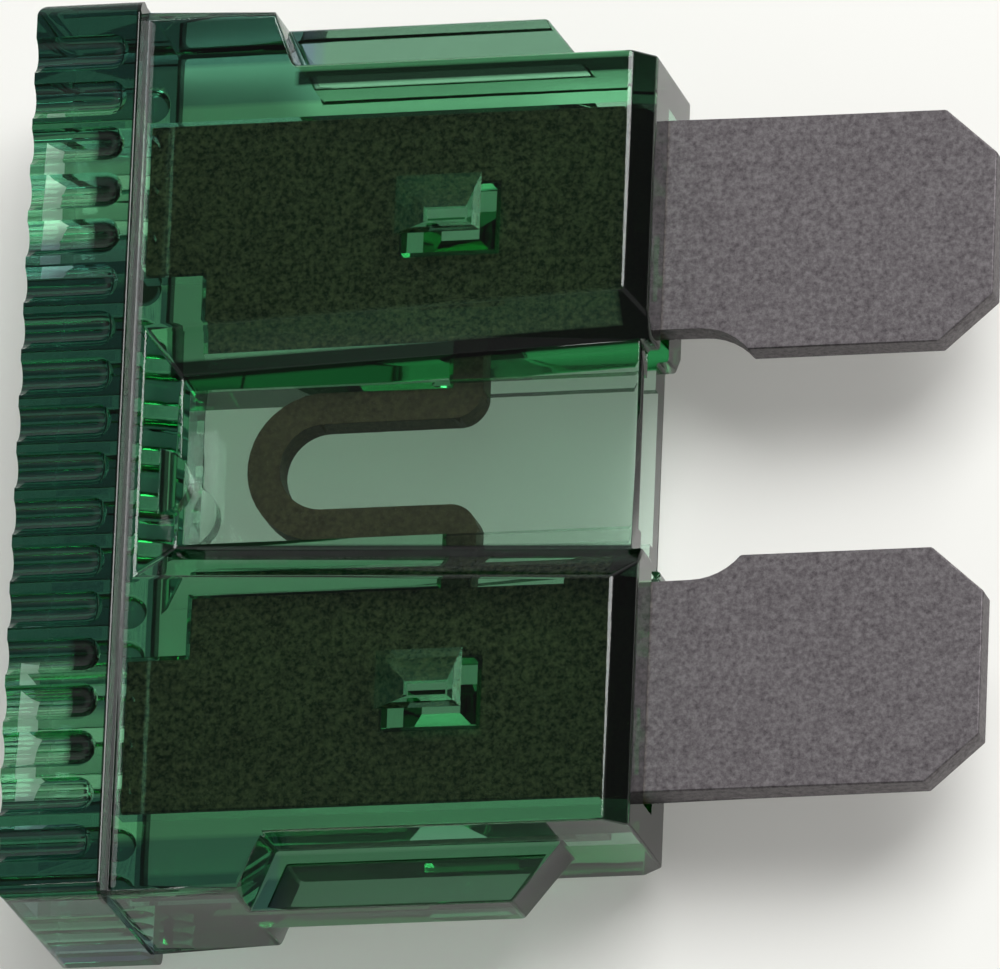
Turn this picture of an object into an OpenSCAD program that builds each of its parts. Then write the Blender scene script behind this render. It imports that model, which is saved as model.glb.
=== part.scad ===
// Automotive blade fuse: one stamped strip held inside one moulded see-through housing.
// The fuse lies on its back. X runs from the cap towards the blade tips, Y runs across the two
// blades and Z points out of the front face. The shapes are drawn from the cap's top face (X = 0)
// and the mid-plane of the blades (Z = 0), and module placed() moves them to the origin.

/* [Cap] */
// Width of the cap across the blades, mm
cap_w = 19.3; // [19.0:0.1:20.5]
// Thickness of the cap, mm
cap_t = 5.0; // [4.6:0.1:6.0]
// Length of the cap along the fuse, mm
cap_l = 2.2; // [2.0:0.05:3.0]
// Radius of the cap's corners, mm
cap_r = 0.3; // [0.2:0.05:0.8]
// Distance from one grip groove to the next, mm
groove_pitch = 1.0; // [0.9:0.02:1.4]
// Width of a grip groove, mm
groove_w = 0.76; // [0.4:0.02:0.8]
// Depth of a grip groove's round bottom, mm
groove_depth = 0.22; // [0.1:0.02:0.36]
// Plain lip left between the grooves and the cap's lower edge, mm
groove_lip = 0.22; // [0.1:0.02:0.8]
// Plain end left beside the first and the last groove, mm
groove_margin = 0.75; // [0.5:0.05:3]
// Width of a test pocket over a blade, mm
probe_w = 2.9; // [1.5:0.1:3.1]
// Thickness of a test pocket, mm
probe_t = 1.5; // [1.0:0.1:2.2]

/* [Shoulder] */
// Width of the shoulder under the cap, mm
shoulder_w = 19.0; // [18.0:0.1:19.0]
// Distance from the cap's top face to the end of the shoulder, mm
shoulder_end = 5.35; // [4.6:0.05:6.5]
// Bevel along the shoulder's long edges, mm
shoulder_bevel = 0.15; // [0.1:0.05:0.7]
// Length by which the shoulder's end slopes back to the block, mm
shoulder_slope = 0.5; // [0.1:0.05:1.2]

/* [Blade block] */
// Width of the block round the blades, mm
block_w = 16.5; // [16.2:0.1:17.0]
// Thickness of the block and the shoulder, mm
block_t = 3.8; // [3.4:0.1:4.4]
// Distance from the cap's top face to the block's blade end, mm
block_end = 12.9; // [12.6:0.1:13.4]
// Bevel along the block's sides, mm
side_bevel = 0.4; // [0.2:0.05:0.55]
// Bevel along the block's blade end, mm
end_bevel = 0.45; // [0.2:0.05:0.6]

/* [Side fins] */
// Width across the two side fins, mm
fin_w = 19.0; // [18.0:0.1:19.0]
// Thickness of a side fin, mm
fin_t = 1.2; // [0.8:0.1:1.8]
// Distance from the cap's top face to where a fin starts to taper, mm
fin_end = 10.3; // [8.0:0.1:11.2]
// Length of a fin's taper back to the block, mm
fin_taper = 1.0; // [0.6:0.1:1.4]

/* [Window] */
// Distance from the cap's top face to the window's floor, mm
window_start = 3.05; // [2.95:0.05:3.6]
// Width of the window's floor at the cap end, mm
window_w_cap = 3.7; // [3.4:0.1:4.0]
// Width of the window's floor at the blade end, mm
window_w_end = 4.5; // [4.2:0.1:4.8]
// Width by which each side wall of the window leans out, mm
window_flare_w = 0.85; // [0.3:0.05:0.95]
// Length by which the window's wall at the cap leans out, mm
window_flare_l = 0.6; // [0.3:0.05:0.7]
// Thickness of the web that is left between the front and the back window, mm
web_t = 2.2; // [1.9:0.1:2.6]
// Distance by which the web ends short of the blade end, mm
web_setback = 0.25; // [0.1:0.05:0.4]
// Radius of the moulding gate's half-round boss in the window, mm
gate_r = 0.7; // [0.3:0.05:0.8]
// Distance from the fuse's middle to that boss, mm
gate_y = 0.5; // [0:0.1:0.9]

/* [Strip] */
// Thickness of the stamped strip, mm
strip_t = 0.65; // [0.5:0.05:0.8]
// Distance from the cap's top face to the blade tips, mm
tip_x = 19.8; // [18.5:0.1:21.0]
// Distance across the outer edges of the two blades, mm
blades_w = 14.4; // [14.2:0.1:14.7]
// Gap between the two blades at their tips, mm
blade_gap = 4.4; // [4.2:0.1:4.7]
// Length of a tip's chamfer along the blade, mm
tip_run = 1.1; // [0.6:0.05:1.6]
// Width of a tip's chamfer across the blade, mm
tip_rise = 0.98; // [0.5:0.02:1.5]
// Distance from the cap's top face to the blades' hidden ends, mm
head_x = 2.1; // [1.9:0.05:2.4]
// Extra width on each blade's outer edge inside the housing, mm
key_w = 0.2; // [0.1:0.02:0.25]
// Distance from the housing's blade end back to where that extra width ends, mm
key_setback = 0.8; // [0.5:0.05:1.2]
// Gap between the blades' inner edges inside the housing, mm
inner_gap = 5.7; // [5.3:0.1:5.9]
// Width of the notch in a blade's hidden inner corner, mm
notch_w = 1.3; // [0.8:0.05:1.6]
// Length of the notch in a blade's hidden inner corner, mm
notch_l = 1.3; // [0.8:0.05:1.5]
// Gap between the blades' inner edges where they leave the housing, mm
neck_gap = 5.4; // [5.1:0.1:5.6]
// Distance from the cap's top face to the start of that narrower gap, mm
neck_x = 11.2; // [10.8:0.1:11.6]
// Radius of the punched relief below the housing, mm
relief_r = 1.34; // [1.1:0.02:1.6]
// Distance from the cap's top face to the relief's centre, mm
relief_x = 13.7; // [13.5:0.05:14.0]

/* [Fuse link] */
// Distance from the cap's top face to the link's turn, mm
link_x = 4.35; // [4.2:0.05:4.8]
// Radius of the turn's inner edge, mm
link_r = 0.92; // [0.6:0.02:1.0]
// Width of the link's two legs, mm
link_w = 0.68; // [0.5:0.02:0.8]
// Distance from the cap's top face to the far side of the link's feet, mm
foot_x = 9.25; // [8.9:0.05:9.6]
// Width of the feet that join the link to the blades, mm
foot_w = 0.63; // [0.4:0.02:0.9]
// Space between the link's turn and the cap end of the room it lies in, mm
link_space = 1.2; // [0.2:0.05:1.3]

/* [Stakes] */
// Distance from the cap's top face to the stakes that hold the strip, mm
stake_x = 8.5; // [7.9:0.1:8.8]
// Distance from the fuse's middle to a stake, mm
stake_y = 5.1; // [5.0:0.05:5.5]
// Length of the hole for a stake, mm
stake_l = 2.1; // [1.7:0.05:2.3]
// Width of the hole for a stake, mm
stake_w = 1.55; // [1.3:0.05:1.8]
// Amount by which the punch mark over a stake is smaller than the hole, mm
mark_inset = 0.3; // [0.1:0.05:0.45]
// Width of the punch mark's flat floor, mm
mark_floor_w = 0.25; // [0.1:0.05:0.6]
// Depth of the punch mark over a stake, mm
mark_depth = 0.7; // [0.3:0.05:1.1]

/* [Fits] */
// Air on each face of the strip inside the housing, mm
face_gap = 0.05; // [0.03:0.01:0.1]
// Air beside the strip's edges inside the housing, mm
edge_gap = 0.06; // [0.03:0.01:0.12]
// Air above and below the fuse link, mm
link_air = 0.28; // [0.15:0.01:0.35]

/* [Hidden] */
$fn = 48;
eps = 0.01;
cut = 1;
housing_colour = [0.24, 0.56, 0.43];
strip_colour = [0.50, 0.49, 0.48];

// Half sizes that several shapes share
cap_y = cap_w / 2;
block_y = block_w / 2;
block_z = block_t / 2;
web_z = web_t / 2;
web_end = block_end - web_setback;
blade_out = blades_w / 2;
blade_in = blade_gap / 2;
key_y = blade_out + key_w;
inner_y = inner_gap / 2;
neck_y = neck_gap / 2;
notch_y = inner_y + notch_w;
key_end = block_end - key_setback;

// The link's turn is a half ring, and its legs run on to the feet
turn_out = link_r + link_w;
turn_x = link_x + turn_out;
toe_r = min(link_w, foot_w) - eps;
foot_near = foot_x - foot_w;
room_x = link_x - link_space;
room_y = turn_out + edge_gap;
room_z = strip_t / 2 + link_air;
cavity_x = head_x - edge_gap;
cavity_z = strip_t / 2 + face_gap;

// Grooves share the cap's width, and the last one keeps the margin
groove_count = floor((cap_w - 2 * groove_margin - groove_w) / groove_pitch) + 1;
groove_l = cap_l - groove_lip;
groove_r = (groove_w * groove_w / 4 + groove_depth * groove_depth) / (2 * groove_depth);

// The test pocket lies over the part of the blade that the notch leaves
probe_y = (notch_y + key_y) / 2;

// The punch mark's four walls lean in by the same amount
mark_l = stake_l - mark_inset;
mark_w = stake_w - mark_inset;
mark_slope = (mark_w - mark_floor_w) / 2;

module placed() {
    translate([-tip_x / 2, 0, cap_t / 2]) children();
}

module both_sides() {
    children();
    mirror([0, 1, 0]) children();
}

module both_faces() {
    children();
    mirror([0, 0, 1]) children();
}

// Draws a flat shape given as (Y, Z) and runs it along X from x0 to x1
module along_x(x0, x1) {
    translate([x0, 0, 0]) rotate([90, 0, 90]) linear_extrude(x1 - x0) children();
}

// Draws a flat shape given as (X, Z) and runs it across, centred on Y = 0
module across_y(width) {
    rotate([90, 0, 0]) linear_extrude(width, center = true) children();
}

module rounded_rect(x, y, r) {
    square([x, y - 2 * r], center = true);
    square([x - 2 * r, y], center = true);
    for (sx = [-1, 1], sy = [-1, 1]) {
        translate([sx * (x / 2 - r), sy * (y / 2 - r)]) circle(r);
    }
}

// A box outline with its four corners cut by a bevel
module bevelled_rect(half_x, half_y, bevel) {
    polygon([
        [-half_x + bevel, -half_y], [half_x - bevel, -half_y], [half_x, -half_y + bevel],
        [half_x, half_y - bevel], [half_x - bevel, half_y], [-half_x + bevel, half_y],
        [-half_x, half_y - bevel], [-half_x, -half_y + bevel]
    ]);
}

// A groove has a round bottom and runs out in a round end
module groove() {
    straight = groove_l - groove_w / 2;
    translate([-cut, 0, 0]) rotate([0, 90, 0]) cylinder(cut + straight, r = groove_r);
    translate([straight, 0, 0]) sphere(groove_r);
}

module grooves() {
    first = -(groove_count - 1) * groove_pitch / 2;
    for (i = [0 : groove_count - 1]) {
        translate([0, first + i * groove_pitch, cap_t / 2 - groove_depth + groove_r]) groove();
    }
}

module cap() {
    intersection() {
        along_x(0, cap_l) rounded_rect(cap_w, cap_t, cap_r);
        translate([cap_l / 2, 0, -cap_t]) linear_extrude(2 * cap_t) union() {
            translate([cap_r / 2, 0]) square([cap_l - cap_r + eps, cap_w + cut], center = true);
            square([cap_l, cap_w - 2 * cap_r], center = true);
            for (s = [-1, 1]) {
                translate([cap_r - cap_l / 2, s * (cap_y - cap_r)]) circle(cap_r);
            }
        }
    }
}

module shoulder() {
    intersection() {
        along_x(cap_l - eps, shoulder_end)
            bevelled_rect(shoulder_w / 2, block_z, shoulder_bevel);
        translate([0, 0, -block_t]) linear_extrude(2 * block_t) polygon([
            [0, -shoulder_w / 2], [shoulder_end - shoulder_slope, -shoulder_w / 2],
            [shoulder_end, -block_y], [shoulder_end, block_y],
            [shoulder_end - shoulder_slope, shoulder_w / 2], [0, shoulder_w / 2]
        ]);
    }
}

// Side bevels and end bevels meet in a mitre, as two outlines cut one another
module block() {
    intersection() {
        along_x(cap_l - eps, block_end) bevelled_rect(block_y, block_z, side_bevel);
        across_y(block_w + cut) polygon([
            [0, -block_z], [block_end - end_bevel, -block_z], [block_end, -block_z + end_bevel],
            [block_end, block_z - end_bevel], [block_end - end_bevel, block_z], [0, block_z]
        ]);
    }
}

module fins() {
    translate([0, 0, -fin_t / 2]) linear_extrude(fin_t) polygon([
        [cap_l - eps, -fin_w / 2], [fin_end, -fin_w / 2], [fin_end + fin_taper, -block_y + eps],
        [fin_end + fin_taper, block_y - eps], [fin_end, fin_w / 2], [cap_l - eps, fin_w / 2]
    ]);
}

// One leaning side of the window, as a bar that is kept out of the cut
module window_side() {
    rise = block_z - web_z;
    run = block_end - window_start;
    turn = atan2((window_w_end - window_w_cap) / 2, run);
    translate([window_start, window_w_cap / 2, web_z]) rotate([0, 0, turn])
        rotate([-atan2(window_flare_w, rise), 0, 0])
            translate([-block_end, 0, -block_t]) cube([3 * block_end, block_w, 3 * block_t]);
}

module window() {
    rise = block_z - web_z;
    difference() {
        translate([cap_l + eps, -block_y, web_z]) cube([block_end, block_w, rise + cut]);
        both_sides() window_side();
        translate([window_start, 0, web_z]) rotate([0, -atan2(window_flare_l, rise), 0])
            translate([-block_end, -block_y, -block_t]) cube([block_end, block_w, 3 * block_t]);
        translate([window_start - gate_r / 2, -gate_y, web_z - eps]) cylinder(rise / 2, r = gate_r);
    }
}

// The web between the windows ends a little short of the two blade boxes
module web_end_cut() {
    translate([web_end, -window_w_end / 2, -cap_t]) cube([cut, window_w_end, 2 * cap_t]);
}

module stake_hole(clearance) {
    translate([stake_x, stake_y])
        square([stake_l + 2 * clearance, stake_w + 2 * clearance], center = true);
}

// The sloping sides of a punch mark of the given size, open at the block's face
module mark_outline(size) {
    foot = size / 2 - mark_slope;
    top = size / 2 + cut * mark_slope / mark_depth;
    polygon([
        [-foot, block_z - mark_depth], [foot, block_z - mark_depth],
        [top, block_z + cut], [-top, block_z + cut]
    ]);
}

// The staking punch leaves a hollow with a narrow floor and four leaning walls
module punch_mark() {
    translate([stake_x, stake_y, 0]) intersection() {
        along_x(-mark_l, mark_l) mark_outline(mark_w);
        across_y(2 * mark_w) mark_outline(mark_l);
    }
}

module probe_pocket() {
    translate([-cut, probe_y - probe_w / 2, -probe_t / 2])
        cube([cut + cavity_x, probe_w, probe_t]);
}

// The strip slides in from the blade end: a flat slot lets the blades and the link's feet
// through, and the room for the link runs along the middle with more air
module cavity() {
    mouth = block_end + cut;
    translate([0, 0, -cavity_z]) linear_extrude(2 * cavity_z) union() {
        difference() {
            translate([cavity_x, inner_y - edge_gap])
                square([mouth - cavity_x, key_y - inner_y + 2 * edge_gap]);
            translate([cavity_x - cut, inner_y - edge_gap - cut])
                square([notch_l + cut, notch_w + cut]);
            stake_hole(-edge_gap);
        }
        translate([foot_near - edge_gap, 0]) square([mouth - foot_near + edge_gap, inner_y]);
    }
    translate([room_x, -room_y, -room_z]) cube([mouth - room_x, 2 * room_y, 2 * room_z]);
}

module housing() {
    color(housing_colour) placed() difference() {
        union() {
            cap();
            shoulder();
            block();
            fins();
        }
        both_faces() {
            grooves();
            window();
            both_sides() punch_mark();
        }
        web_end_cut();
        both_sides() {
            probe_pocket();
            cavity();
        }
    }
}

module blade() {
    difference() {
        polygon([
            [head_x + notch_l, inner_y], [neck_x, inner_y], [neck_x, neck_y], [relief_x, neck_y],
            [relief_x, blade_in], [tip_x - tip_run, blade_in], [tip_x, blade_in + tip_rise],
            [tip_x, blade_out - tip_rise], [tip_x - tip_run, blade_out], [key_end, blade_out],
            [key_end, key_y], [head_x, key_y], [head_x, notch_y], [head_x + notch_l, notch_y]
        ]);
        translate([relief_x, neck_y - relief_r]) circle(relief_r);
        stake_hole(0);
    }
}

// Half of the link: a quarter of the turn, one leg and the foot that joins its blade
module half_link() {
    intersection() {
        translate([turn_x, 0]) difference() {
            circle(turn_out);
            circle(link_r);
        }
        translate([link_x - cut, -eps]) square([turn_out + cut, turn_out + cut]);
    }
    translate([turn_x - eps, link_r]) square([foot_x - toe_r - turn_x + eps, link_w]);
    translate([foot_near, turn_out - eps]) square([foot_w, inner_y - turn_out + 2 * eps]);
    translate([foot_x - toe_r - eps, link_r]) intersection() {
        square([toe_r + eps, link_w]);
        translate([eps, toe_r]) circle(toe_r);
    }
    translate([foot_x - toe_r - eps, link_r + toe_r - eps]) square([toe_r + eps, link_w - toe_r + 2 * eps]);
}

module fuse_strip() {
    color(strip_colour) placed() translate([0, 0, -strip_t / 2]) linear_extrude(strip_t)
        both_sides() {
            blade();
            half_link();
        }
}

housing();
fuse_strip();
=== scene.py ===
# %% [markdown]
# # A blade fuse in see-through plastic
# This notebook dresses a finished construction model of an automotive blade fuse. The model comes
# from CAD as two solids: a moulded housing and the stamped strip inside it. Apart from a few bevels
# their shapes stay as they are, so the work here is a camera, softened edges, light and, above all,
# two materials.
#
# The first step loads the solids.

import math

import bmesh
import bpy
from mathutils import Matrix, Vector


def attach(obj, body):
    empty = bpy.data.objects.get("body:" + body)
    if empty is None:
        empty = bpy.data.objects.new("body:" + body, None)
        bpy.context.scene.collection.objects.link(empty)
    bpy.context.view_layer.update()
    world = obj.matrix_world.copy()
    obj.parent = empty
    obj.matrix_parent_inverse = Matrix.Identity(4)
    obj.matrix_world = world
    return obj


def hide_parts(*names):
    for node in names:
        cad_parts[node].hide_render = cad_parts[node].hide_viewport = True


MM = 0.001

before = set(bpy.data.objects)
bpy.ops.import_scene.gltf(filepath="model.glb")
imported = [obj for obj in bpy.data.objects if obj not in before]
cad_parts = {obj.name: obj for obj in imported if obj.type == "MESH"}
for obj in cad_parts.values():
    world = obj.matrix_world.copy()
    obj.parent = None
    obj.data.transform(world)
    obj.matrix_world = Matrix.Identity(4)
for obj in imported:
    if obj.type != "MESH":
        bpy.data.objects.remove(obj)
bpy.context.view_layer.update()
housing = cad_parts["housing"]
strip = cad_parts["fuse_strip"]
print("nodes:", sorted(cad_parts))

# %% [markdown]
# ## Camera
# The photograph looks down on the fuse from beyond its lower right corner, from far off: the left
# edge of the cap and the tips of the blades are nearly at the same scale. A long lens gives that.
# The view direction was worked out from the corners of the real object, so it is written here as
# two axes of the picture and a distance. The lens follows from how many pixels a millimetre takes.

# %% Camera
IMAGE_W = 1000
SENSOR_MM = 36.0
PX_PER_MM = 49.09
CAMERA_AWAY = 399.2 * MM
AIM = Vector((0.1, 0.0, 2.5)) * MM
VIEW_RIGHT = Vector((0.9704, 0.0384, -0.2385))
VIEW_UP = Vector((0.0411, 0.9466, 0.3197))
SLIDE_RIGHT = -0.446 * MM
SLIDE_UP = -0.368 * MM
NEAREST = 0.01
FARTHEST = 10.0


def add_camera():
    """Puts a camera at aim + away * back, where back is right x up, and slides it in its own plane."""
    back = VIEW_RIGHT.cross(VIEW_UP).normalized()
    right = VIEW_UP.cross(back).normalized()
    up = back.cross(right)
    place = AIM + back * CAMERA_AWAY + right * SLIDE_RIGHT + up * SLIDE_UP
    turn = Matrix((right, up, back)).transposed().to_4x4()
    data = bpy.data.cameras.new("photo_camera")
    data.sensor_width = SENSOR_MM
    data.lens = PX_PER_MM * (CAMERA_AWAY / MM) * SENSOR_MM / IMAGE_W
    data.clip_start = NEAREST
    data.clip_end = FARTHEST
    camera = bpy.data.objects.new("photo_camera", data)
    camera.matrix_world = Matrix.Translation(place) @ turn
    bpy.context.scene.collection.objects.link(camera)
    bpy.context.scene.camera = camera
    return camera


camera = add_camera()
print("lens, mm:", round(camera.data.lens, 1), "at", [round(v, 3) for v in camera.location])

# %% [markdown]
# ## Small helpers for materials
# Colours are picked as sRGB hex values, as a paint chip would be, and turned to the linear values
# that the renderer works in. Nodes are added by one function that also sets and links them, so that
# each material reads as a short recipe.

# %% Colour and node helpers


def linear(hex_value):
    """sRGB hex to linear: up to 0.04045 a value is divided by 12.92, else ((v + 0.055) / 1.055) ** 2.4."""
    srgb = [int(hex_value[i : i + 2], 16) / 255 for i in (0, 2, 4)]
    return tuple(v / 12.92 if v <= 0.04045 else ((v + 0.055) / 1.055) ** 2.4 for v in srgb) + (1.0,)


def add_node(tree, kind, settings=None, inputs=None):
    """Adds one node. Each input is given a value, or another node's socket, which is linked to it."""
    node = tree.nodes.new(kind)
    for name, value in (settings or {}).items():
        setattr(node, name, value)
    for name, value in (inputs or {}).items():
        if isinstance(value, bpy.types.NodeSocket):
            tree.links.new(value, node.inputs[name])
        else:
            node.inputs[name].default_value = value
    return node


def new_material(name):
    """An empty material with its node tree and its output node."""
    material = bpy.data.materials.new(name)
    material.use_nodes = True
    tree = material.node_tree
    tree.nodes.clear()
    return material, tree, add_node(tree, "ShaderNodeOutputMaterial")


def dress(piece, material):
    """Gives a piece one material in place of those that it came with."""
    piece.data.materials.clear()
    piece.data.materials.append(material)


print("linear mid grey:", [round(v, 3) for v in linear("808080")])

# %% [markdown]
# ## Masks
# A mask is a number from 0 to 1 that says how much of a finish a point gets. The masks here are
# worked out from the point's own place on the object, in metres, and one of them also from the way
# the surface faces there, so a finish stays on its spot from every side. Most masks fade over a few
# hundredths of a millimetre, which looks like a clean line.

# %% Masks from places
FADE_MM = 0.06
MIDDLE_MM = 2.5


def combined(tree, operation, *values):
    """Values taken two by two, from the left.

    Of masks, MULTIPLY is 1 only where all of them are, and MAXIMUM where any of them is."""
    result = values[0]
    for value in values[1:]:
        step = add_node(tree, "ShaderNodeMath", {"operation": operation}, {0: result, 1: value})
        result = step.outputs["Value"]
    return result


def rises(tree, value, start_mm, end_mm):
    """A mask: 0 at start_mm and 1 at end_mm, straight between and flat outside them."""
    limits = {"Value": value, "From Min": start_mm * MM, "From Max": end_mm * MM}
    return add_node(tree, "ShaderNodeMapRange", {}, limits).outputs["Result"]


def away_from(tree, value, place_mm=0.0):
    """The distance from a place on an axis: the size of value - place."""
    apart = combined(tree, "SUBTRACT", value, place_mm * MM) if place_mm else value
    return add_node(tree, "ShaderNodeMath", {"operation": "ABSOLUTE"}, {0: apart}).outputs["Value"]


def laid_over(tree, mask, under, over):
    """One colour laid over another where the mask is 1.

    On a Mix node set to colours, input 6 is the first colour, 7 the second, and output 2 the result."""
    sockets = {0: mask, 6: under, 7: over}
    return add_node(tree, "ShaderNodeMix", {"data_type": "RGBA"}, sockets).outputs[2]


def places(tree):
    """The coordinates that masks read.

    along, side and level are the object's X, Y and Z. across is the distance from the fuse's middle
    line, and height that from the mid-plane of the blades."""
    where = add_node(tree, "ShaderNodeTexCoord").outputs["Object"]
    axes = add_node(tree, "ShaderNodeSeparateXYZ", {}, {"Vector": where}).outputs
    return {
        "where": where,
        "along": axes["X"],
        "side": axes["Y"],
        "level": axes["Z"],
        "across": away_from(tree, axes["Y"]),
        "height": away_from(tree, axes["Z"], MIDDLE_MM),
    }


print("masks fade over", FADE_MM, "mm")

# %% [markdown]
# ## Housing: injection-moulded transparent plastic
# The housing is a clear engineering plastic dyed green all through, so its colour comes from depth:
# the thin window is a pale green, the thick cap a dark teal. Painting the surface green can't give
# that. Here the surface lets light in and out, and an absorbing volume inside takes off red first,
# blue next and green last.
#
# Depth alone leaves the cap, the fins and the shoulder's overhang paler and yellower than they are in
# the photograph. A weak, darker and bluer tint of the surface there makes up for it, and it is painted
# shade. A ray is tinted on its way in and again on its way out.

# %% Where painted shade tints the housing
CLEAR = "ffffff"
# Painted shade: these tints darken the cap, the shoulder's overhang and the fins.
CAP_PAINTED_SHADE = "71749a"
OVERHANG_PAINTED_SHADE = "9aa1ba"
FIN_PAINTED_SHADE = "96afa1"
CAP_FACE_MM = -7.6
POCKET_Y_MM = 6.0
POCKET_HALF_MM = 1.3
POCKET_FADE_MM = 0.3
POCKET_HEIGHT_MM = 1.2
OVERHANG_Y_MM = 8.3
SHOULDER_END_MM = -4.5


def cap_skin(tree, at):
    """The cap's outer faces, apart from those over its two test pockets, where the walls are thin."""
    return combined(
        tree, "MULTIPLY",
        rises(tree, at["along"], CAP_FACE_MM + FADE_MM, CAP_FACE_MM - FADE_MM),
        rises(tree, at["height"], POCKET_HEIGHT_MM, POCKET_HEIGHT_MM + FADE_MM),
        rises(
            tree, away_from(tree, at["across"], POCKET_Y_MM),
            POCKET_HALF_MM, POCKET_HALF_MM + POCKET_FADE_MM,
        ),
    )


def beyond_shoulder(tree, at):
    """Everything on the blades' side of the shoulder's end."""
    return rises(tree, at["along"], SHOULDER_END_MM - FADE_MM, SHOULDER_END_MM + FADE_MM)


def overhang(tree, at):
    """What stands out beside the block: the ends of the shoulder, and the fins beyond it."""
    return rises(tree, at["across"], OVERHANG_Y_MM - FADE_MM, OVERHANG_Y_MM + FADE_MM)


def painted_shade_tints(tree, at):
    """The three colours of painted shade, laid over clear plastic one after another."""
    sides = laid_over(tree, beyond_shoulder(tree, at), linear(OVERHANG_PAINTED_SHADE), linear(FIN_PAINTED_SHADE))
    tint = laid_over(tree, overhang(tree, at), linear(CLEAR), sides)
    return laid_over(tree, cap_skin(tree, at), tint, linear(CAP_PAINTED_SHADE))


print("tints:", CAP_PAINTED_SHADE, OVERHANG_PAINTED_SHADE, FIN_PAINTED_SHADE)

# %% [markdown]
# ## Dark lines in clear plastic
# A clear moulding is outlined by near-black lines. A slanted face bends the view into a dark corner
# of the room, and at an edge there are many such faces. The room here is plain, with no such corner,
# and the strongest of these lines are given to the surface instead: on the bevels at the blade end,
# along the front face's far long edge, at the foot of the front window's slopes, in the ends of
# three grooves over each test pocket, and on the step from the cap to the shoulder.

# %% Dark lines
LINE_TINT = "101413"
SLANTED_COSINES = (0.97, 0.85)
BLADE_END_MM = 2.4
FRONT_FACE_MM = 4.38
LONG_EDGE_MM = (7.76, 8.14)
SLOPE_LEVELS_MM = (3.5, 3.84)
SLOPE_HALF_WIDTH_MM = 2.13
SLOPE_GROWTH = 0.041
SLOPE_REACH_MM = (-0.12, 0.3)
DARK_GROOVES_Y_MM = 5.5
DARK_GROOVES_HALF_MM = 1.45
GROOVE_END_MM = (-8.62, -7.84)
CAP_SKIN_MM = 2.47
CAP_STEP_MM = (-7.8, -7.6)
SHOULDER_SKIN_MM = 1.87


def blade_end_bevels(tree, at):
    """Faces at the blade end that look along none of the three axes.

    The largest part of such a face's direction is well under 1."""
    facing = add_node(tree, "ShaderNodeTexCoord").outputs["Normal"]
    parts = add_node(tree, "ShaderNodeSeparateXYZ", {}, {"Vector": facing}).outputs
    largest = combined(tree, "MAXIMUM", *[away_from(tree, parts[axis]) for axis in "XYZ"])
    straight, slanted = SLANTED_COSINES
    slant = add_node(tree, "ShaderNodeMapRange", {}, {
        "Value": largest, "From Min": straight, "From Max": slanted,
    }).outputs["Result"]
    at_end = rises(tree, at["along"], BLADE_END_MM - FADE_MM, BLADE_END_MM + FADE_MM)
    return combined(tree, "MULTIPLY", slant, at_end)


def far_long_edge(tree, at):
    """A strip of the front face, on the side away from the camera, from the shoulder on."""
    inner, outer = LONG_EDGE_MM
    return combined(
        tree, "MULTIPLY",
        rises(tree, at["level"], FRONT_FACE_MM - FADE_MM, FRONT_FACE_MM),
        beyond_shoulder(tree, at),
        rises(tree, at["side"], inner, inner + FADE_MM),
        rises(tree, at["side"], outer, outer - FADE_MM),
    )


def slope_foot(tree, at):
    """A strip where the front window's side slopes meet its floor.

    The floor widens towards the blades: its half width is SLOPE_HALF_WIDTH_MM + SLOPE_GROWTH * X."""
    half_width = add_node(tree, "ShaderNodeMath", {"operation": "MULTIPLY_ADD"}, {
        0: at["along"], 1: SLOPE_GROWTH, 2: SLOPE_HALF_WIDTH_MM * MM,
    }).outputs["Value"]
    from_edge = combined(tree, "SUBTRACT", at["across"], half_width)
    floor_level, top_level = SLOPE_LEVELS_MM
    inner, outer = SLOPE_REACH_MM
    return combined(
        tree, "MULTIPLY",
        rises(tree, at["level"], floor_level, floor_level + FADE_MM / 2),
        rises(tree, at["level"], top_level + FADE_MM, top_level),
        rises(tree, from_edge, inner, inner + FADE_MM),
        rises(tree, from_edge, outer, outer - FADE_MM),
    )


def groove_ends(tree, at):
    """The round ends of the grooves over the test pockets, below the cap's skin."""
    start, end = GROOVE_END_MM
    return combined(
        tree, "MULTIPLY",
        rises(tree, at["along"], start - FADE_MM, start + 2 * FADE_MM),
        rises(tree, at["along"], end, end - FADE_MM),
        rises(
            tree, away_from(tree, at["across"], DARK_GROOVES_Y_MM),
            DARK_GROOVES_HALF_MM + FADE_MM, DARK_GROOVES_HALF_MM,
        ),
        rises(tree, at["height"], POCKET_HEIGHT_MM, POCKET_HEIGHT_MM + FADE_MM),
        rises(tree, at["height"], CAP_SKIN_MM, CAP_SKIN_MM - FADE_MM),
    )


def cap_step(tree, at):
    """The step from the cap down to the shoulder, front and back, with the rounded edges on it."""
    start, end = CAP_STEP_MM
    return combined(
        tree, "MULTIPLY",
        rises(tree, at["along"], start, start + FADE_MM / 2),
        rises(tree, at["along"], end, end - FADE_MM / 2),
        rises(tree, at["height"], SHOULDER_SKIN_MM - FADE_MM / 2, SHOULDER_SKIN_MM + FADE_MM / 2),
    )


def dark_lines(tree, at):
    """All dark lines as one mask."""
    areas = (blade_end_bevels, far_long_edge, slope_foot, groove_ends, cap_step)
    return combined(tree, "MAXIMUM", *[area(tree, at) for area in areas])


print("dark lines reach", round(GROOVE_END_MM[1] - GROOVE_END_MM[0], 2), "mm up the grooves")

# %% [markdown]
# ## The plastic itself
# Polycarbonate and its like have an index of refraction of about 1.5 to 1.6. The polished steel of a
# mould leaves them glossy. Waves too faint to see by themselves keep a reflection from being perfect.
#
# The dye is a Volume Absorption node. It leaves exp(-a * depth) of each colour, with a given per
# millimetre. The node wants a density and a colour instead, whose product density * (1 - colour) is
# that same a.

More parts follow.
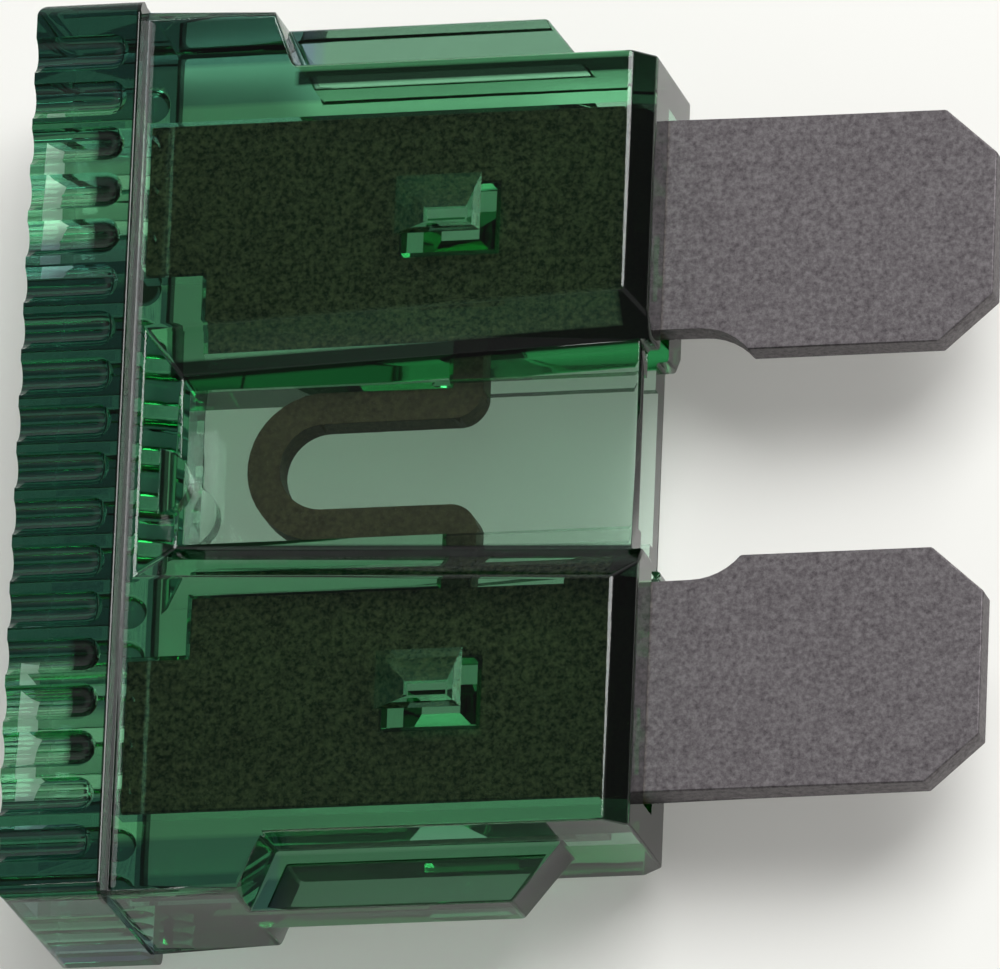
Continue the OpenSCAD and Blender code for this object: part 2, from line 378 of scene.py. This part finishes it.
# %% Green plastic
PLASTIC_IOR = 1.52
PLASTIC_ROUGHNESS = 0.025
ABSORB_PER_MM = (0.46, 0.15, 0.32)
ABSORB_DENSITY = 0.75 / MM
WAVE_MM = 0.9
WAVE_DETAIL = 2.0
WAVE_DEEP_MM = 0.02
WAVE_STRENGTH = 0.15


def green_plastic():
    """Glossy surface, tinted with painted shade and dark lines, with faint moulding waves, round a volume
    that absorbs by depth.
    """
    material, tree, out = new_material("moulded_transparent_green_plastic")
    at = places(tree)
    tint = laid_over(tree, dark_lines(tree, at), painted_shade_tints(tree, at), linear(LINE_TINT))
    waves = add_node(tree, "ShaderNodeTexNoise", {}, {
        "Vector": at["where"], "Scale": 1 / (WAVE_MM * MM), "Detail": WAVE_DETAIL,
    })
    bump = add_node(tree, "ShaderNodeBump", {}, {
        "Height": waves.outputs["Fac"], "Strength": WAVE_STRENGTH, "Distance": WAVE_DEEP_MM * MM,
    })
    surface = add_node(tree, "ShaderNodeBsdfPrincipled", {}, {
        "Base Color": tint, "Roughness": PLASTIC_ROUGHNESS, "IOR": PLASTIC_IOR,
        "Transmission Weight": 1.0, "Normal": bump.outputs["Normal"],
    })
    tree.links.new(surface.outputs["BSDF"], out.inputs["Surface"])
    dye = tuple(1 - a / MM / ABSORB_DENSITY for a in ABSORB_PER_MM) + (1.0,)
    volume = add_node(tree, "ShaderNodeVolumeAbsorption", {}, {"Color": dye, "Density": ABSORB_DENSITY})
    tree.links.new(volume.outputs["Volume"], out.inputs["Volume"])
    return material


print("light left after 1 mm:", [round(math.exp(-a), 2) for a in ABSORB_PER_MM])

# %% [markdown]
# ## Softened edges
# No moulded or stamped edge is a knife edge, and a rounded edge is what catches the light. CAD
# delivers loose triangles, so each solid is copied, its points are merged, and flat neighbours
# become one face again. Then every sharp, long enough edge gets a weight, and a Bevel modifier
# rounds the weighted edges. Where roundings meet they can put several points on one spot, which a
# Weld modifier joins. A Weighted Normal modifier keeps the flat faces flat.

# %% Rounded copies
MERGE_MM = 0.002
WELD_MM = 0.001
FLAT_DEG = 0.4
SHORTEST_MM = 0.3
SHARP_DEG = 28
BEVEL_STEPS = 3
LARGE_FACES_LEAD = 100


def merged_mesh(node, reshape):
    """The node's mesh in bmesh, with shared points, flat faces joined and each point reshaped."""
    work = bmesh.new()
    work.from_mesh(node.data)
    bmesh.ops.remove_doubles(work, verts=work.verts, dist=MERGE_MM * MM)
    for vert in work.verts:
        vert.co = reshape(vert.co / MM) * MM
    limit = math.radians(FLAT_DEG)
    bmesh.ops.dissolve_limit(work, angle_limit=limit, verts=work.verts, edges=work.edges)
    return work


def weigh_edges(work, spared):
    """Gives weight 1 to each sharp edge to be rounded, and returns how many there are.

    The other sharp edges are marked sharp, so that their two faces are shaded apart."""
    weight = work.edges.layers.float.new("bevel_weight_edge")
    count = 0
    for edge in work.edges:
        if edge.calc_face_angle(0) > math.radians(SHARP_DEG):
            middle = (edge.verts[0].co + edge.verts[1].co) / 2 / MM
            rounded = edge.calc_length() > SHORTEST_MM * MM and not spared(middle)
            edge[weight] = float(rounded)
            edge.smooth = rounded
            count += rounded
    return count


def add_rounding(piece, radius_mm):
    """The three modifiers: rounded edges, shared points and flat faces that stay flat."""
    bevel = piece.modifiers.new("rounded_edges", "BEVEL")
    bevel.width = radius_mm * MM
    bevel.segments = BEVEL_STEPS
    bevel.limit_method = "WEIGHT"
    bevel.use_clamp_overlap = False
    weld = piece.modifiers.new("shared_points", "WELD")
    weld.merge_threshold = WELD_MM * MM
    shade = piece.modifiers.new("flat_faces_stay_flat", "WEIGHTED_NORMAL")
    shade.keep_sharp = True
    shade.weight = LARGE_FACES_LEAD


def rounded_copy(node, name, radius_mm, spared, reshape):
    """A merged copy of a CAD node with rounded edges.

    spared(middle) says of an edge's middle that the edge stays sharp, and reshape(point) moves a
    point. Both take millimetres."""
    work = merged_mesh(node, reshape)
    print(name, "edges rounded:", weigh_edges(work, spared))
    for face in work.faces:
        face.smooth = True
    mesh = node.data.copy()
    work.to_mesh(mesh)
    work.free()
    piece = bpy.data.objects.new(name, mesh)
    bpy.context.scene.collection.objects.link(piece)
    add_rounding(piece, radius_mm)
    return piece


# %% [markdown]
# ## The housing, dressed
# The mould's small inner details stay sharp: the cavity for the strip, the rim where the grooves
# run out of the cap, and the punch marks over the stakes. Their edges lie closer together than two
# roundings would need.
#
# The block also has a bevel along each long edge. In see-through plastic those bevels draw broad
# pale and dark stripes that the photograph doesn't show, so the dressed copy has plain edges there,
# rounded as the others are.

# %% Housing
PLASTIC_ROUND_MM = 0.07
CAVITY_HALF_MM = (0.63, 7.6)
RIM_MM = -7.75
MARK_AT_MM = (-1.4, 5.1)
MARK_REACH_MM = (1.2, 1.0)
BLOCK_Y_MM = 8.25
BLOCK_Z_MM = 1.9
BEVEL_MM = 0.4
NEAR_MM = 0.02


def kept_sharp(middle):
    """Edges of the cavity, of the cap's rim and of the punch marks."""
    half_height, half_width = CAVITY_HALF_MM
    cavity = abs(middle.z - MIDDLE_MM) < half_height and abs(middle.y) < half_width
    rim = middle.x < RIM_MM
    in_length = abs(middle.x - MARK_AT_MM[0]) < MARK_REACH_MM[0]
    mark = in_length and abs(abs(middle.y) - MARK_AT_MM[1]) < MARK_REACH_MM[1]
    return cavity or rim or mark


def squared(point):
    """The inner line of each long bevel, moved out to the block's side."""
    at_side = abs(abs(point.y) - (BLOCK_Y_MM - BEVEL_MM)) < NEAR_MM
    at_face = abs(abs(point.z - MIDDLE_MM) - BLOCK_Z_MM) < NEAR_MM
    if at_side and at_face:
        point.y = math.copysign(BLOCK_Y_MM, point.y)
    return point


body = rounded_copy(housing, "housing_moulding", PLASTIC_ROUND_MM, kept_sharp, squared)
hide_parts("housing")
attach(body, "root")
dress(body, green_plastic())
print("housing dressed, absorbs per mm:", ABSORB_PER_MM)

# %% [markdown]
# ## Strip: stamped zinc alloy
# Zinc strip comes off the roll dull grey, with a fine mottle of crystal grains, and the stamping
# leaves it as it is. Two greys mixed by a fine noise give the mottle, and the same noise as a slight
# bump breaks the reflection. The grains are drawn about a tenth of a millimetre wide, coarser than
# real ones, so that they show. The strip is the same zinc all through, but inside the housing the
# photograph shows a browner and darker metal with more contrast. The darker, browner greys there are
# painted shade, and the link under the thin window gets a little paler ones than the covered blades.

# %% Zinc strip
GRAIN_MM = 0.11
GRAIN_DETAIL = 4.0
GRAIN_BREAK_UP = 0.7
GRAIN_DEEP_MM = 0.01
GRAIN_STRENGTH = 0.4
ZINC_ROUGHNESS = 0.6
BARE = ("575255", "817d7f")
# Painted shade: darker, browner greys for the strip under the housing, a little paler on the link.
INSIDE_PAINTED_SHADE = ("261d15", "74634d")
LINK_PAINTED_SHADE = ("433c2f", "625a46")
SOFT_MOTTLE = (0.32, 0.68)
HARD_MOTTLE = (0.37, 0.64)
MOUTH_MM = (3.05, 2.85)
LINK_SIDE_MM = (2.5, 2.9)


def mottle(tree, grains, pair, spread):
    """From the dark to the light grains of one tone, over the part of the noise given by spread."""
    ramp = add_node(tree, "ShaderNodeValToRGB", {}, {"Fac": grains})
    for element, place, colour in zip(ramp.color_ramp.elements, spread, pair):
        element.position = place
        element.color = linear(colour)
    return ramp.outputs["Color"]


def zinc():
    """Rough metal whose colour varies from grain to grain, with painted shade inside the housing."""
    material, tree, out = new_material("stamped_zinc_strip")
    at = places(tree)
    grains = add_node(tree, "ShaderNodeTexNoise", {}, {
        "Vector": at["where"], "Scale": 1 / (GRAIN_MM * MM),
        "Detail": GRAIN_DETAIL, "Roughness": GRAIN_BREAK_UP,
    }).outputs["Fac"]
    # Under the housing the greys are painted shade, and they are paler on the link under the thin window.
    on_blade = rises(tree, at["across"], *LINK_SIDE_MM)
    link_tone = mottle(tree, grains, LINK_PAINTED_SHADE, SOFT_MOTTLE)
    covered = laid_over(tree, on_blade, link_tone, mottle(tree, grains, INSIDE_PAINTED_SHADE, HARD_MOTTLE))
    inside = rises(tree, at["along"], *MOUTH_MM)
    colour = laid_over(tree, inside, mottle(tree, grains, BARE, SOFT_MOTTLE), covered)
    bump = add_node(tree, "ShaderNodeBump", {}, {
        "Height": grains, "Strength": GRAIN_STRENGTH, "Distance": GRAIN_DEEP_MM * MM,
    })
    surface = add_node(tree, "ShaderNodeBsdfPrincipled", {}, {
        "Base Color": colour, "Metallic": 1.0, "Roughness": ZINC_ROUGHNESS,
        "Normal": bump.outputs["Normal"],
    })
    tree.links.new(surface.outputs["BSDF"], out.inputs["Surface"])
    return material


METAL_ROUND_MM = 0.04
sheet = rounded_copy(
    strip, "stamped_strip", METAL_ROUND_MM, spared=lambda middle: False, reshape=lambda point: point
)
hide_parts("fuse_strip")
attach(sheet, "root")
dress(sheet, zinc())
print("strip dressed, grains of", GRAIN_MM, "mm")

# %% [markdown]
# ## Table
# The photograph's background is white. The table is off-white paper, and it glows a little for what
# the camera sees straight, mirrored or through the plastic. The glow lights nothing, and the fuse's
# shadow stays on the table.

# %% Table
TABLE_SIZE = 1.2
TABLE_GLOW = 0.22
GLOW_COLOUR = "fffdf7"
PAPER = "dfdfdb"


def paper():
    """Diffuse paper plus a glow for camera, glossy and transmission rays only."""
    material, tree, out = new_material("white_table")
    sheet_of_paper = add_node(tree, "ShaderNodeBsdfDiffuse", {}, {"Color": linear(PAPER)})
    ray = add_node(tree, "ShaderNodeLightPath").outputs
    seen = combined(
        tree, "MAXIMUM", ray["Is Camera Ray"], ray["Is Glossy Ray"], ray["Is Transmission Ray"]
    )
    strength = combined(tree, "MULTIPLY", seen, TABLE_GLOW)
    glow = add_node(tree, "ShaderNodeEmission", {}, {"Color": linear(GLOW_COLOUR), "Strength": strength})
    surface = add_node(tree, "ShaderNodeAddShader", {}, {
        0: sheet_of_paper.outputs["BSDF"], 1: glow.outputs["Emission"],
    })
    tree.links.new(surface.outputs["Shader"], out.inputs["Surface"])
    return material


def add_table():
    """A square sheet at Z = 0, which the cap rests on."""
    half = TABLE_SIZE / 2
    corners = [(-half, -half, 0), (half, -half, 0), (half, half, 0), (-half, half, 0)]
    mesh = bpy.data.meshes.new("table")
    mesh.from_pydata(corners, [], [(0, 1, 2, 3)])
    table = bpy.data.objects.new("table", mesh)
    bpy.context.scene.collection.objects.link(table)
    dress(table, paper())
    return table


table = add_table()
print("table:", [round(v, 2) for v in table.dimensions], "m")

# %% [markdown]
# ## Light
# One large soft lamp stands beyond the fuse's upper right corner, because the photograph's far fin
# is pale and its near fin dark. The rest of the light is a plain grey room. It is darker straight up
# and low down, where the flat front faces and the side walls would mirror it to the camera and turn
# milky, and paler on the far side.

# %% Lamp and room
LAMP_AT = (0.22, 0.275, 0.42)
LAMP_SIZE = 0.40
LAMP_POWER = 3.4
ROOM = ((0.0, 0.08), (0.35, 0.1), (0.55, 0.35), (0.8, 0.35), (0.9, 0.1), (1.0, 0.1))
ANYWHERE = 0.5  # where a grey starts out, before it is given its own place
FAR_GREY = (0.6, 0.6, 0.6, 1)
FAR_FROM = 0.6
FAR_TO = 0.95


def add_lamp():
    """A square area lamp that faces the fuse."""
    data = bpy.data.lights.new("key_lamp", "AREA")
    data.size = LAMP_SIZE
    data.energy = LAMP_POWER
    lamp = bpy.data.objects.new("key_lamp", data)
    lamp.location = LAMP_AT
    lamp.rotation_euler = (-Vector(LAMP_AT)).to_track_quat("-Z", "Y").to_euler()
    bpy.context.scene.collection.objects.link(lamp)


def add_room():
    """A grey that depends on how high a direction points, and a paler one towards +Y."""
    world = bpy.data.worlds.new("grey_room")
    bpy.context.scene.world = world
    world.use_nodes = True
    tree = world.node_tree
    towards = add_node(tree, "ShaderNodeTexCoord").outputs["Generated"]
    axes = add_node(tree, "ShaderNodeSeparateXYZ", {}, {"Vector": towards}).outputs
    ramp = add_node(tree, "ShaderNodeValToRGB", {}, {"Fac": axes["Z"]})
    while len(ramp.color_ramp.elements) < len(ROOM):
        ramp.color_ramp.elements.new(ANYWHERE)
    for element, (place, grey) in zip(ramp.color_ramp.elements, ROOM):
        element.position = place
        element.color = (grey, grey, grey, 1)
    far = add_node(tree, "ShaderNodeMapRange", {}, {
        "Value": axes["Y"], "From Min": FAR_FROM, "From Max": FAR_TO,
    }).outputs["Result"]
    colour = laid_over(tree, far, ramp.outputs["Color"], FAR_GREY)
    background = tree.nodes["Background"]
    tree.links.new(colour, background.inputs["Color"])
    background.inputs["Strength"].default_value = 1.0


add_lamp()
add_room()
print("lamp at", LAMP_AT, "and a room of", len(ROOM), "greys")

# %% [markdown]
# The view transform Standard shows colours as they are written. The light tree is Blender's way to
# choose among many lamps. With one lamp it only takes time, so it is off.

# %% Colour and time
bpy.context.scene.view_settings.view_transform = "Standard"
bpy.context.scene.cycles.use_light_tree = False
print("view transform:", bpy.context.scene.view_settings.view_transform)
